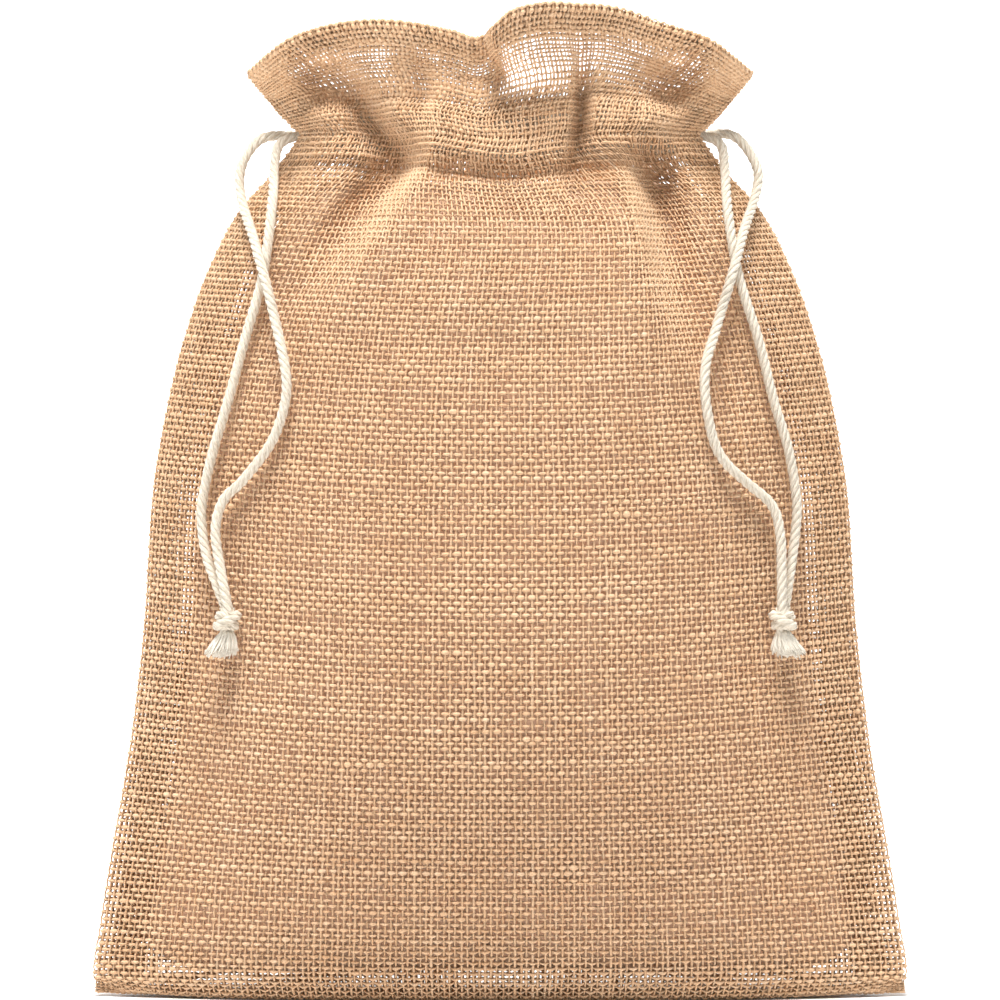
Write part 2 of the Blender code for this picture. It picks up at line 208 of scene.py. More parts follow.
def foldDepth(side, x, height):  # how far the folds push the cloth inwards at places across and up
    total = np.zeros(np.broadcast(x, height).shape)
    for fold in folds[side]:
        rows = np.array(fold)
        middle = smoothCurve(rows[:, [0, 1]], height)
        depth = smoothCurve(rows[:, [0, 2]], height)
        width = smoothCurve(rows[:, [0, 3]], height)
        inside = (height > rows[:, 0].min()) & (height < rows[:, 0].max())
        total += np.where(inside, depth, 0) * np.exp(-(((x - middle) / width) ** 2))
    return total


# A point of a panel: across runs from -1 to 1 between the side seams, height from below 0 on the
# turned-under base, through the wall, up to 1 unit of ruffle above the neck (rise).
def panelSurface(side, across, height, rise):
    neck = pouch["neck"]
    ruffle = ruffles[side]
    wall = np.clip(height, 0, neck)
    width = smoothCurve(pouch["outline"], wall) + pouch["spread"] * rise**0.9
    power = smoothCurve(pouch["boxiness"], wall + 0.03 * rise)
    bulge = 1 - np.abs(across) ** power
    z = np.clip(height, 0, neck) + rise * (smoothCurve(ruffle["rim"], across) - neck)
    z = z - smoothCurve(pouch["sag"], z) * (1 - across**2) * easeIn(0.0, 0.03, wall)
    x = across * width
    if side == "front":  # the rows of the neck band hang lowest at the middle
        z = z - 0.0035 * np.exp(-(((x - 0.002) / 0.016) ** 2)) * easeIn(0.235, 0.262, wall) * (1 - 0.85 * rise)
    out = smoothCurve(pouch["belly"], wall) + ruffle["lean"] * rise ** ruffle["power"]
    under = np.clip(1 + height / 0.020, 0, 1)  # 0 at the bottom seam, 1 where the wall begins
    out = out * (0.88 + 0.12 * np.sin(np.clip(wall / 0.008, 0, 1) * math.pi / 2)) * under
    depth = out * bulge
    groove = foldDepth(side, x, z)
    room = 0.80 * depth
    groove = np.where(groove > 0, room * np.tanh(groove / np.maximum(room, 1e-5)), groove)
    puff = 0.0030 * np.sin(np.clip((wall + 0.036 * rise - 0.2555) / 0.021, 0, 1) * math.pi) ** 0.7
    pinch = 0.0012 * np.exp(-(((wall + 0.036 * rise - 0.2550) / 0.0022) ** 2))
    pinch = pinch + 0.0006 * np.exp(-(((wall + 0.036 * rise - 0.2765) / 0.0015) ** 2))
    if side == "front":  # the right lobe of the ruffle lies over the left one
        edge = smoothCurve(ruffle["overlap"], z)
        beyond = x - edge
        lobe = easeIn(-0.0012, 0.0012, beyond) * np.exp(-((np.clip(beyond, 0, 1) / 0.026) ** 2))
        depth = depth + 0.0070 * lobe * easeIn(0.272, 0.292, z)
        depth = depth + 0.0022 * rise * np.sin(x / 0.0115 + 0.5) * bulge
        curl = np.exp(-(((np.abs(across) - 0.86) / 0.15) ** 2)) * (1 - np.abs(across) ** 12)
        depth = depth + 0.0060 * rise * curl
    else:
        depth = depth + 0.0030 * rise * np.sin(x / 0.009 + 1.5) * bulge
    gap = np.cos(np.clip(np.abs(z - neck) / pouch["slitHeight"], 0, 1) * math.pi / 2) ** 0.7
    edge = pouch["seamGap"] + pouch["slitWidth"] * gap * np.abs(across) ** 12
    y = -(edge + depth - groove + (puff - pinch) * bulge**0.4)
    lift = 0.0032 * np.clip(under, 0, 1) * np.abs(across) ** 8 * (1 - easeIn(0.0, 0.006, wall))
    z = np.maximum(z, 0) + 0.0010 * np.clip(1 - wall / 0.01, 0, 1) + lift
    return np.stack([x, y if side == "front" else -y, z], -1)


weave = {
    "warps": 142,
    "rowPitch": 0.00184,
    "warpPitch": 0.001765,
    "baseDepth": 0.020,
    "ruffleLength": 0.038,
    "hem": 6,  # rows turned inwards at the rim
    "allowance": 10,  # warps turned inwards at each side seam
    "layerGap": 0.0013,
    "weftWidth": 0.00104,
    "warpWidth": 0.00078,
    "weftRise": 0.00042,
    "warpRise": 0.00014,
    "halfThick": 0.00030,
    "seed": 11,
}
zones = ["Base", "Belly", "Shoulder", "Neck"]  # each cloth is made in four stretches, one above another


def smoothNoise(rng, shape, reach):  # unit random waves along the last axis, about reach samples long
    waves = np.fft.rfft(rng.normal(size=shape))
    pitch = np.fft.rfftfreq(shape[-1])
    waves *= np.exp(-((pitch * reach) ** 2))
    made = np.fft.irfft(waves, shape[-1])
    return made / max(made.std(), 1e-9)


# Four samples a crossing both ways. Each row is spread evenly by its own length, so that the warps keep
# their distance, and each column starts from heights that are evenly spaced along the middle of the panel.
def clothGrid(side):
    neck = pouch["neck"]
    fine = np.linspace(-weave["baseDepth"], neck + weave["ruffleLength"], 1500)
    rise = np.clip((fine - neck) / weave["ruffleLength"], 0, 1)
    spine = panelSurface(side, np.full_like(fine, 0.02), fine, rise)
    spine[:, 1] = np.convolve(np.pad(spine[:, 1], 20, "edge"), np.ones(41) / 41, "valid")
    length = distanceAlong(spine)
    rows = int(round(length[-1] / weave["rowPitch"]))
    heights = np.interp(np.linspace(0, length[-1], rows * 4 + 1), length, fine)
    across = np.linspace(-1, 1, 1401)
    rise = np.clip((heights - neck) / weave["ruffleLength"], 0, 1)
    dense = panelSurface(side, across[None, :], heights[:, None], rise[:, None])
    run = np.linalg.norm(np.diff(dense, axis=1), axis=2)
    run = np.concatenate([np.zeros((len(heights), 1)), np.cumsum(run, axis=1)], 1)
    blur = np.ones(13) / 13  # neighbouring rows share their spacing
    share = run / run[:, -1:]
    padded = np.pad(share, ((6, 6), (0, 0)), "edge")
    share = sum(padded[k : k + len(heights)] * blur[k] for k in range(13))
    even = np.linspace(0, 1, weave["warps"] * 4 + 1)
    places = np.array([np.interp(even, row, across) for row in share])
    print(side, "cloth:", weave["warps"], "by", rows, "threads")
    return panelSurface(side, places, heights[:, None], rise[:, None]), rows


def gridNormals(grid, side):  # unit normals of a grid of points, pointing out of the pouch
    normal = unit(np.cross(np.gradient(grid, axis=1), np.gradient(grid, axis=0)))
    return normal if side == "front" else -normal


# The cloth goes on past the side seams and the rim, turned inwards and laid flat behind itself.
def turnedGrid(grid, side):
    normal = gridNormals(grid, side)
    gap = weave["layerGap"]

    def turned(flat, face, count, axis):
        steps = np.arange(1, count * 4 + 1)
        turn = np.clip(steps / 5, 0, 1) * math.pi
        back = np.where(steps <= 5, 0, steps - 5)
        shape = [1, 1, 1]
        shape[axis] = len(steps)
        drop = (gap * (1 - np.cos(turn)) / 2).reshape(shape)
        swell = (gap * np.sin(turn) / 2).reshape(shape)
        ends = []
        for low in (True, False):
            index = back if low else flat.shape[axis] - 1 - back
            point = np.take(flat, index, axis)
            out = np.take(face, index, axis)
            edge = np.take(flat, [0 if low else -1], axis) - np.take(flat, [3 if low else -4], axis)
            edge = unit(edge)  # outwards along the cloth
            facing = out * np.cos(turn).reshape(shape) + edge * np.sin(turn).reshape(shape)
            ends.append((point - out * drop + edge * swell, facing))
        return ends

    (left, leftFace), (right, rightFace) = turned(grid, normal, weave["allowance"], 1)
    grid = np.concatenate([left[:, ::-1], grid, right], 1)
    normal = np.concatenate([leftFace[:, ::-1], normal, rightFace], 1)
    top, topFace = turned(grid, normal, weave["hem"], 0)[1]
    grid = np.concatenate([grid, top], 0)
    normal = np.concatenate([normal, topFace], 0)
    normal /= np.maximum(np.linalg.norm(normal, axis=-1, keepdims=True), 1e-3)
    return grid, normal


# A mesh from whole arrays: four-sided and three-sided faces, values on the points and a thread map.
def meshFrom(name, points, quads, tris=None, values=None, uv=None):
    tris = np.zeros((0, 3), int) if tris is None else tris
    corners = np.concatenate([quads.ravel(), tris.ravel()])
    starts = np.concatenate([np.arange(len(quads)) * 4, len(quads) * 4 + np.arange(len(tris)) * 3])
    mesh = bpy.data.meshes.new(name)
    mesh.vertices.add(len(points))
    mesh.vertices.foreach_set("co", points.astype(np.float32).ravel())
    mesh.loops.add(len(corners))
    mesh.loops.foreach_set("vertex_index", corners.astype(np.int32))
    mesh.polygons.add(len(starts))
    mesh.polygons.foreach_set("loop_start", starts.astype(np.int32))
    mesh.update(calc_edges=True)
    mesh.shade_smooth()
    for key, numbers in (values or {}).items():
        attribute = mesh.attributes.new(key, "FLOAT", "POINT")
        attribute.data.foreach_set("value", numbers.astype(np.float32).ravel())
    if uv is not None:
        layer = mesh.uv_layers.new(name="thread")
        layer.data.foreach_set("uv", uv[corners].astype(np.float32).ravel())
    return mesh


def addPiece(mesh, material, body="pouch", replaced=()):
    piece = bpy.data.objects.new(mesh.name, mesh)
    bpy.context.scene.collection.objects.link(piece)
    mesh.materials.append(material)
    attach(piece, body)
    if replaced:
        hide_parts(*replaced)
    return piece


# Tubes: a ring of points at each place along each path, joined ring to ring, with both ends closed.
# centre, sideways and outward are (tubes, rings, 3), width and height are half sizes at each ring, and
# profile gives each corner of the ring as shares of them.
def tubes(centre, sideways, outward, width, height, profile):
    corner = np.array(profile, float)
    count, rings = centre.shape[:2]
    sides = len(corner)
    width, height = (np.broadcast_to(v, (count, rings)) for v in (width, height))
    points = (
        centre[:, :, None]
        + sideways[:, :, None] * (width[:, :, None, None] * corner[:, 0, None])
        + outward[:, :, None] * (height[:, :, None, None] * corner[:, 1, None])
    )
    index = np.arange(count * rings * sides).reshape(count, rings, sides)
    a, b = index[:, :-1], index[:, 1:]
    quads = np.stack([a, np.roll(a, -1, 2), np.roll(b, -1, 2), b], -1).reshape(-1, 4)
    fans = [(0, k, k + 1) for k in range(1, sides - 1)]
    ends = [index[:, 0][:, fan[::-1]] for fan in fans] + [index[:, -1][:, fan] for fan in fans]
    tris = np.concatenate(ends)
    run = np.linalg.norm(np.diff(centre, axis=1), axis=2)
    run = np.concatenate([np.zeros((count, 1)), np.cumsum(run, axis=1)], 1)
    uv = np.stack(np.broadcast_arrays(run[:, :, None], np.arange(sides) / sides), -1).reshape(-1, 2)
    points = points.reshape(-1, 3)
    a, b, c, d = (points[quads[:, k]] for k in range(4))
    if (a * (np.cross(b, c) + np.cross(c, d))).sum() < 0:  # the faces look into the tubes, so turn them
        quads, tris = quads[:, ::-1], tris[:, ::-1]
    return {"points": points, "quads": quads, "tris": tris, "uv": uv, "values": {}}


def joined(parts):  # several sets of tubes as one
    starts = np.cumsum([0] + [len(part["points"]) for part in parts[:-1]])
    whole = {key: np.concatenate([part[key] for part in parts]) for key in ("points", "uv")}
    for key in ("quads", "tris"):
        whole[key] = np.concatenate([part[key] + start for part, start in zip(parts, starts)])
    whole["values"] = {
        key: np.concatenate([part["values"][key] for part in parts]) for key in parts[0]["values"]
    }
    return whole


def tubeMesh(name, made):
    return meshFrom(name, made["points"], made["quads"], made["tris"], made["values"], made["uv"])


triangleRing = [(-1.0, -0.5), (0.0, 1.0), (1.0, -0.5)]


def roundRing(sides):
    turn = np.arange(sides) * 2 * math.pi / sides
    return np.stack([np.cos(turn), np.sin(turn)], -1)


# Where the threads of one kind run in a whole cloth: two rings at each crossing, so that a thread is flat
# on top of each neighbour and steep between them.
def threadRuns(kind, grid, normal, rng, thin):
    rows, columns = ((size - 1) // 4 for size in grid.shape[:2])
    counts = (rows, columns) if kind == "weft" else (columns, rows)
    own, other = np.arange(counts[0]), np.arange(counts[1])
    along = (other[:, None] * 4 + 2 + np.array([-1, 1])).ravel()
    over = np.where((own[:, None] + other[None, :] + (kind == "warp")) % 2 == 0, 1.0, -1.0)
    over = np.repeat(over, 2, axis=1)
    middle = own * 4 + 2
    if kind == "weft":
        r, c = np.broadcast_arrays(middle[:, None], along[None, :])
        sideways = grid[r + 2, c] - grid[r - 2, c]
    else:
        r, c = np.broadcast_arrays(along[None, :], middle[:, None])
        sideways = grid[r, c + 2] - grid[r, c - 2]
    pitch = np.linalg.norm(sideways, axis=-1)
    sideways = sideways / np.maximum(pitch[..., None], 1e-9)
    shape = r.shape
    lump = np.clip(smoothNoise(rng, shape, 22) - 2.0, 0, 1)
    slub = 1 + 0.15 * smoothNoise(rng, shape, 9) + 0.09 * rng.normal(size=(shape[0], 1))
    slub = (slub + lump * (0.55 if kind == "weft" else 0.3)) * thin[r, c]
    wander = 0.00008 * smoothNoise(rng, shape, 14) + 0.00010 * rng.normal(size=(shape[0], 1))
    rise = weave[kind + "Rise"] * over * np.clip(0.95 + 0.1 * rng.normal(size=shape), 0.6, 1.3)
    tone = 0.5 * rng.normal(size=(shape[0], 1)) + 0.5 * smoothNoise(rng, shape, 16)
    return {
        "centre": grid[r, c] + sideways * wander[..., None] + normal[r, c] * rise[..., None],
        "sideways": sideways,
        "outward": normal[r, c],
        "width": np.minimum(weave[kind + "Width"] / 2 * np.clip(slub, 0.5, 1.9), pitch * 0.58),
        "height": weave["halfThick"] * np.clip(0.6 + 0.4 * slub, 0.7, 1.5),
        "tone": tone + 0.35 * smoothNoise(rng, shape, 3) + 0.8 * lump,
        "start": rng.uniform(0, 5, shape[0])[:, None] * np.ones(shape),
    }


def threadTubes(runs, tubesFrom, tubesTo, ringsFrom, ringsTo):
    part = {key: value[tubesFrom:tubesTo, ringsFrom:ringsTo] for key, value in runs.items()}
    keys = ("centre", "sideways", "outward", "width", "height")
    made = tubes(*(part[key] for key in keys), triangleRing)
    made["uv"] = made["uv"] + np.repeat(part["start"].ravel(), 3)[:, None] * np.array([1.0, 0.0])
    made["values"] = {"tone": np.repeat(part["tone"].ravel(), 3)}
    return made


# A stretch of cloth between two rows. Its warps share their end rings with the next stretch.
def clothStretch(weft, warp, low, high):
    return joined([
        threadTubes(weft, low, high, 0, None),
        threadTubes(warp, 0, None, low * 2, high * 2 + 1),
    ])


class Signal:  # a shader socket that takes arithmetic
    def __init__(self, tree, socket=None):
        self.tree = tree
        self.socket = socket

    def node(self, kind, settings=None, inputs=None, output=0):
        made = self.tree.nodes.new(kind)
        for key, value in (settings or {}).items():
            if key == "stops":
                ramp = made.color_ramp
                while len(ramp.elements) < len(value):
                    ramp.elements.new(0.5)
                for element, (place, colour) in zip(ramp.elements, value):
                    element.position = place
                    element.color = (*colour, 1)
            else:
                setattr(made, key, value)
        for key, value in (inputs or {}).items():
            if isinstance(value, Signal):
                self.tree.links.new(value.socket, made.inputs[key])
            else:
                made.inputs[key].default_value = value
        return Signal(self.tree, made.outputs[output])

    def sum(self, operation, first, second):
        return self.node("ShaderNodeMath", {"operation": operation}, {0: first, 1: second})

    def __add__(self, other):
        return self.sum("ADD", self, other)

    __radd__ = __add__

    def __sub__(self, other):
        return self.sum("SUBTRACT", self, other)

    def __rsub__(self, other):
        return self.sum("SUBTRACT", other, self)

    def __mul__(self, other):
        return self.sum("MULTIPLY", self, other)

    __rmul__ = __mul__


def newMaterial(name, roughness, sheen=0.0, sheenTint=(1, 1, 1)):
    material = bpy.data.materials.new(name)
    material.use_nodes = True
    shader = material.node_tree.nodes["Principled BSDF"]
    shader.inputs["Roughness"].default_value = roughness
    shader.inputs["Sheen Weight"].default_value = sheen
    shader.inputs["Sheen Roughness"].default_value = 0.5
    shader.inputs["Sheen Tint"].default_value = (*sheenTint, 1)
    shader.inputs["Specular IOR Level"].default_value = 0.25
    return material, shader, Signal(material.node_tree)


def feed(shader, name, signal):
    signal.tree.links.new(signal.socket, shader.inputs[name])


def fibreNoise(start, along, around, detail=2.0):  # streaks that follow a thread
    uv = start.node("ShaderNodeUVMap", {"uv_map": "thread"})
    place = start.node("ShaderNodeMapping", {}, {"Vector": uv, "Scale": (along, around, 1)})
    return start.node("ShaderNodeTexNoise", {}, {"Vector": place, "Scale": 1.0, "Detail": detail})


def fibreBump(start, fibre, height):
    return start.node("ShaderNodeBump", {}, {"Height": fibre, "Strength": 0.6, "Distance": height})


juteLook = {
    "stops": [  # from the darkest fibres to the palest
        (0.0, (0.38, 0.190, 0.080)), (0.3, (0.62, 0.370, 0.200)),
        (0.58, (0.75, 0.500, 0.305)), (1.0, (0.88, 0.700, 0.520)),
    ],
    "toneShare": 0.085,
    "fibreShare": 0.42,
    "patchShare": 0.22,
    "fibreHeight": 0.00016,
}


def juteMaterial(name):
    material, shader, start = newMaterial(name, 0.78, 0.25, (1.0, 0.85, 0.65))
    tone = start.node("ShaderNodeAttribute", {"attribute_name": "tone"}, output="Fac")
    fibre = fibreNoise(start, 1100, 5)
    objectPlace = start.node("ShaderNodeTexCoord", output="Object")
    patch = start.node("ShaderNodeTexNoise", {}, {"Vector": objectPlace, "Scale": 28.0, "Detail": 3.0})
    share = tone * juteLook["toneShare"] + (fibre - 0.5) * juteLook["fibreShare"] + 0.52
    share = share + (patch - 0.5) * juteLook["patchShare"]
    colour = start.node("ShaderNodeValToRGB", {"stops": juteLook["stops"]}, {"Fac": share})
    feed(shader, "Base Color", colour)
    feed(shader, "Normal", fibreBump(start, fibre, juteLook["fibreHeight"]))
    return material


cottonLook = {
    "twisted": [(0.25, (0.48, 0.40, 0.29)), (0.6, (0.78, 0.71, 0.60))],
    # the frayed stops are a paler copy of the cord's cotton: painted light that lifts the tassel's fibres out
    # of the shade they cast on one another
    "frayedPaintedLight": [(0.25, (0.72, 0.64, 0.52)), (0.6, (0.90, 0.84, 0.73))],
    "fibreHeight": 0.00022,
}


def cottonMaterial(state):
    material, shader, start = newMaterial(f"{state} cotton", 0.82, 0.2)
    fibre = fibreNoise(start, 700, 9, 3.0)
    colour = start.node("ShaderNodeValToRGB", {"stops": cottonLook[state]}, {"Fac": fibre})
    feed(shader, "Base Color", colour)
    feed(shader, "Normal", fibreBump(start, fibre, cottonLook["fibreHeight"]))
    return material


paperLook = {"stops": [(0.3, (0.80, 0.51, 0.34)), (0.7, (0.92, 0.65, 0.47))], "grain": 160.0}


def paperMaterial():
    material, shader, start = newMaterial("kraft paper", 0.7)
    place = start.node("ShaderNodeTexCoord", output="Object")
    grain = start.node("ShaderNodeTexNoise", {}, {"Vector": place, "Scale": paperLook["grain"], "Detail": 5.0})
    feed(shader, "Base Color", start.node("ShaderNodeValToRGB", {"stops": paperLook["stops"]}, {"Fac": grain}))
    return material


jute = juteMaterial("jute yarn")
thread = juteMaterial("sewing thread")
cotton = cottonMaterial("twisted")
# the tassel's cotton is painted lighter than the cord's, to make up for the shade among its fibres
frayedPaintedLight = cottonMaterial("frayedPaintedLight")
paper = paperMaterial()
print("materials made")


studio = {
    "distance": 1.5,
    "viewWidth": 0.3075,
    "sensor": 36.0,
    "aim": 0.1525,
    "backdropGlow": 0.9,
    "world": 0.21,
    "lamps": {  # place, size and power
        "leftLamp": ((-1.50, -0.45, 0.60), 0.7, 4.8),
        "rightLamp": ((1.50, -0.45, 0.60), 0.7, 3.7),
        "topLamp": ((-0.15, -0.80, 2.25), 0.8, 84.0),
    },
}


def makeStudio():
    camera = bpy.data.objects.new("camera", bpy.data.cameras.new("camera"))
    camera.location = (0, -studio["distance"], studio["aim"])
    camera.rotation_euler = (math.pi / 2, 0, 0)
    camera.data.sensor_width = studio["sensor"]
    camera.data.lens = studio["sensor"] * studio["distance"] / studio["viewWidth"]
    bpy.context.scene.collection.objects.link(camera)
    bpy.context.scene.camera = camera
    turn = np.linspace(0, math.pi / 2, 17)
    depth = np.concatenate([[-3.0], 2.6 + 0.5 * np.sin(turn), [3.1]])
    height = np.concatenate([[0.0], 0.5 - 0.5 * np.cos(turn), [3.5]])
    sides = np.array([-9.0, 9.0])
    points = np.stack(np.broadcast_arrays(sides[None, :], depth[:, None], height[:, None]), -1)
    index = np.arange(len(depth) * 2).reshape(-1, 2)
    quads = np.stack([index[:-1, 0], index[:-1, 1], index[1:, 1], index[1:, 0]], -1)
    material, shader, start = newMaterial("studio sweep", 0.9)
    shader.inputs["Base Color"].default_value = (0.93, 0.93, 0.93, 1)
    place = start.node("ShaderNodeSeparateXYZ", {}, {0: start.node("ShaderNodeTexCoord", output="Object")}, 1)
    glow = start.node("ShaderNodeMapRange", {}, {"Value": place, "From Min": 0.02, "From Max": 0.05})
    feed(shader, "Emission Color", glow)
    shader.inputs["Emission Strength"].default_value = studio["backdropGlow"]
    sweep = bpy.data.objects.new("studioSweep", meshFrom("studioSweep", points.reshape(-1, 3), quads))
    sweep.data.materials.append(material)
    bpy.context.scene.collection.objects.link(sweep)
    world = bpy.data.worlds.new("studio")
    bpy.context.scene.world = world
    world.use_nodes = True
    background = world.node_tree.nodes["Background"]
    background.inputs["Color"].default_value = (1, 1, 1, 1)
    seen = Signal(world.node_tree).node("ShaderNodeLightPath", output="Is Camera Ray")
    feed(background, "Strength", studio["world"] + seen * (1 - studio["world"]))  # white where it is seen
    for name, (place, size, power) in studio["lamps"].items():
        lamp = bpy.data.objects.new(name, bpy.data.lights.new(name, "AREA"))
        lamp.data.size = size
        lamp.data.energy = power
        lamp.location = place
        aim = np.array([0, 0, 0.17]) - np.array(place)
        lamp.rotation_euler = (
            math.atan2(math.hypot(aim[0], aim[1]), -aim[2]),
            0,
            math.atan2(aim[1], aim[0]) - math.pi / 2,
        )
        bpy.context.scene.collection.objects.link(lamp)
    bpy.context.scene.view_settings.view_transform = "Standard"


makeStudio()
print("studio made")


cords = {
    "diameter": 0.0032,
    "tail": 0.027,
    "tailSide": 0.0023,
    "strands": 4,
    "strandPitch": 0.0112,
    "ringStep": 0.0007,
    "routes": {  # x and z of each leg beyond the neck
        "left_inner": [
            (-0.0676, 0.2618), (-0.0693, 0.255), (-0.0697, 0.2463), (-0.0712, 0.2325), (-0.0736, 0.2186),
            (-0.0789, 0.2002), (-0.0835, 0.1833), (-0.0881, 0.1679), (-0.0909, 0.1556), (-0.0918, 0.1464),
            (-0.0903, 0.1356), (-0.087, 0.1262), (-0.0846, 0.12), (-0.0841, 0.1168),
        ],
        "left_outer": [
            (-0.0722, 0.264), (-0.0778, 0.2588), (-0.0801, 0.2518), (-0.0792, 0.2438), (-0.0758, 0.233),
            (-0.0718, 0.2186), (-0.0681, 0.2048), (-0.0647, 0.191), (-0.065, 0.1817), (-0.0696, 0.171),
            (-0.0789, 0.1587), (-0.085, 0.1525), (-0.0875, 0.1433), (-0.0859, 0.131), (-0.0838, 0.12),
            (-0.0837, 0.1168),
        ],
        "right_inner": [
            (0.0676, 0.2618), (0.0691, 0.254), (0.0699, 0.2417), (0.0733, 0.2217), (0.0795, 0.2017),
            (0.0841, 0.1833), (0.0887, 0.1679), (0.0912, 0.1525), (0.0909, 0.1433), (0.0892, 0.13),
            (0.0877, 0.12), (0.0872, 0.1168),
        ],
        "right_outer": [
            (0.07, 0.265), (0.0752, 0.2615), (0.0792, 0.254), (0.0786, 0.2463), (0.0749, 0.235),
            (0.0718, 0.2232), (0.0657, 0.2048), (0.0617, 0.1925), (0.062, 0.1802), (0.0657, 0.1679),
            (0.0749, 0.1587), (0.0835, 0.151), (0.0862, 0.1418), (0.0866, 0.131), (0.0867, 0.12),
            (0.0868, 0.1168),
        ],
    },
    "knots": {"left": (-0.0839, 0.1158), "right": (0.087, 0.1158)},
    "knotRadius": 0.0036,
    "tasselLength": 0.0076,
    "tasselFibres": 280,
    "tasselLean": 0.36,
    "viewDistance": 1.5,
    "viewHeight": 0.1525,
}


def smoothRoute(points, step):  # evenly spaced points on a smooth curve through a route's own points
    points = np.array(points, float)
    ends = np.concatenate([[2 * points[0] - points[1]], points, [2 * points[-1] - points[-2]]])
    t = (np.arange(24) / 24)[None, :, None]
    start, end = ends[1:-2, None], ends[2:-1, None]
    lead, trail = (ends[2:-1] - ends[:-3])[:, None] / 2, (ends[3:] - ends[1:-2])[:, None] / 2
    keep = 2 * t**3 - 3 * t**2 + 1
    fine = start * keep + end * (1 - keep) + lead * (t**3 - 2 * t**2 + t) + trail * (t**3 - t**2)
    fine = np.concatenate([fine.reshape(-1, 3), points[-1:]])
    run = distanceAlong(fine)
    where = np.linspace(0, run[-1], max(8, int(round(run[-1] / step)) + 1))
    return np.stack([np.interp(where, run, fine[:, k]) for k in range(3)], -1)


def frontFace(x, z):  # how far forward the folded front cloth reaches within a cord's width of a place
    reach = np.linspace(-0.0035, 0.0035, 9)
    x = np.asarray(x)[..., None] + reach
    z = np.broadcast_to(np.asarray(z)[..., None], x.shape)
    across = np.clip(x / smoothCurve(pouch["outline"], z), -1, 1)
    return panelSurface("front", across, z, np.zeros_like(z))[..., 1].min(-1)


def restingY(x, z, clearance):  # where something lies on the front of the belly, that far off the cloth
    step = 0.003
    slopeX = (frontFace(x + step, z) - frontFace(x - step, z)) / (2 * step)
    slopeZ = (frontFace(x, z + step) - frontFace(x, z - step)) / (2 * step)
    return frontFace(x, z) - clearance * np.sqrt(1 + np.minimum(slopeX**2 + slopeZ**2, 2.0))


def smoothed(values, reach):
    padded = np.pad(values, reach, "edge")
    return np.convolve(padded, np.ones(2 * reach + 1) / (2 * reach + 1), "valid")


# A leg's line: its straight tail in the neck, then its route down the front, which is drawn in as much as
# it stands nearer to a viewer in front. The outer leg is held off where it crosses over the inner one.
def legLine(side, which, under=None):
    sign = -1 if side == "left" else 1
    drop = 0.016 if which == "inner" else 0.030
    tailY = -cords["tailSide"] if which == "inner" else cords["tailSide"]
    neckX = pouch["neckHalf"]
    tail = [(sign * (neckX - cords["tail"] + 0.009 * k), tailY, pouch["neck"]) for k in range(4)]
    route = [(x, 0.0, z) for x, z in cords["routes"][f"{side}_{which}"]]
    line = smoothRoute(tail + route, cords["ringStep"])
    x, z = line[:, 0], line[:, 2]
    below = np.clip((pouch["neck"] - z) / drop, 0, 1)
    beyond = easeIn(neckX - 0.001, neckX + 0.010, np.abs(x))
    rest = restingY(x, np.minimum(z, pouch["neck"] - 0.004), cords["diameter"] / 2 + 0.0007)
    rest = smoothed(rest, 10)
    if under is not None:
        apart = np.sqrt(((line[:, None, [0, 2]] - under[None, ::6, [0, 2]]) ** 2).sum(-1)).min(1)
        rest = rest - (cords["diameter"] + 0.0002) * np.exp(-((apart / 0.0045) ** 2)) * (below > 0.05)
    free = tailY * (1 + 0.2 * beyond) - 0.0022 * beyond
    line[:, 1] = free * (1 - below) + rest * below
    knotX, knotZ = cords["knots"][side]
    knotY = float(restingY(knotX, knotZ, cords["knotRadius"] + 0.0004))
    close = (1 - easeIn(0.121, 0.136, z)) * (below > 0.5)
    line[:, 1] = line[:, 1] * (1 - close) + (knotY + (0.0014 if which == "inner" else -0.0018)) * close
    line[:, 1] = smoothed(line[:, 1], 6)
    line[: int(cords["tail"] / cords["ringStep"]) - 2, 1] = tailY
    nearer = 1 + line[:, 1] / cords["viewDistance"] * easeIn(neckX, neckX + 0.012, np.abs(x))
    line[:, 0] *= nearer
    line[:, 2] = cords["viewHeight"] + (line[:, 2] - cords["viewHeight"]) * nearer
    knotX = knotX * (1 + knotY / cords["viewDistance"])
    return line, np.array([knotX, knotY, knotZ])


def lineFrames(line, up):  # two unit directions square to a line at each of its points
    along = unit(np.gradient(line, axis=0))
    up = np.array(up, float)
    first = unit(up - along * (along @ up)[:, None])
    return first, np.cross(along, first)


# A laid cord: each strand is a tube whose middle winds round the cord's own line.
def laidCord(line, up, hand, diameter=cords["diameter"], sides=8):
    strands = cords["strands"]
    first, second = lineFrames(line, up)
    run = distanceAlong(line)
    turn = hand * 2 * math.pi * run / cords["strandPitch"]
    turn = turn[None, :] + (np.arange(strands) * 2 * math.pi / strands)[:, None]
    out = first[None] * np.cos(turn)[..., None] + second[None] * np.sin(turn)[..., None]
    side = -first[None] * np.sin(turn)[..., None] + second[None] * np.cos(turn)[..., None]
    centre = line[None] + out * diameter * 0.262
    made = tubes(centre, side, out, diameter * 0.245, diameter * 0.238, roundRing(sides))
    made["uv"] = made["uv"] + np.repeat(np.arange(strands) * 0.37, len(line) * sides)[:, None]
    return made


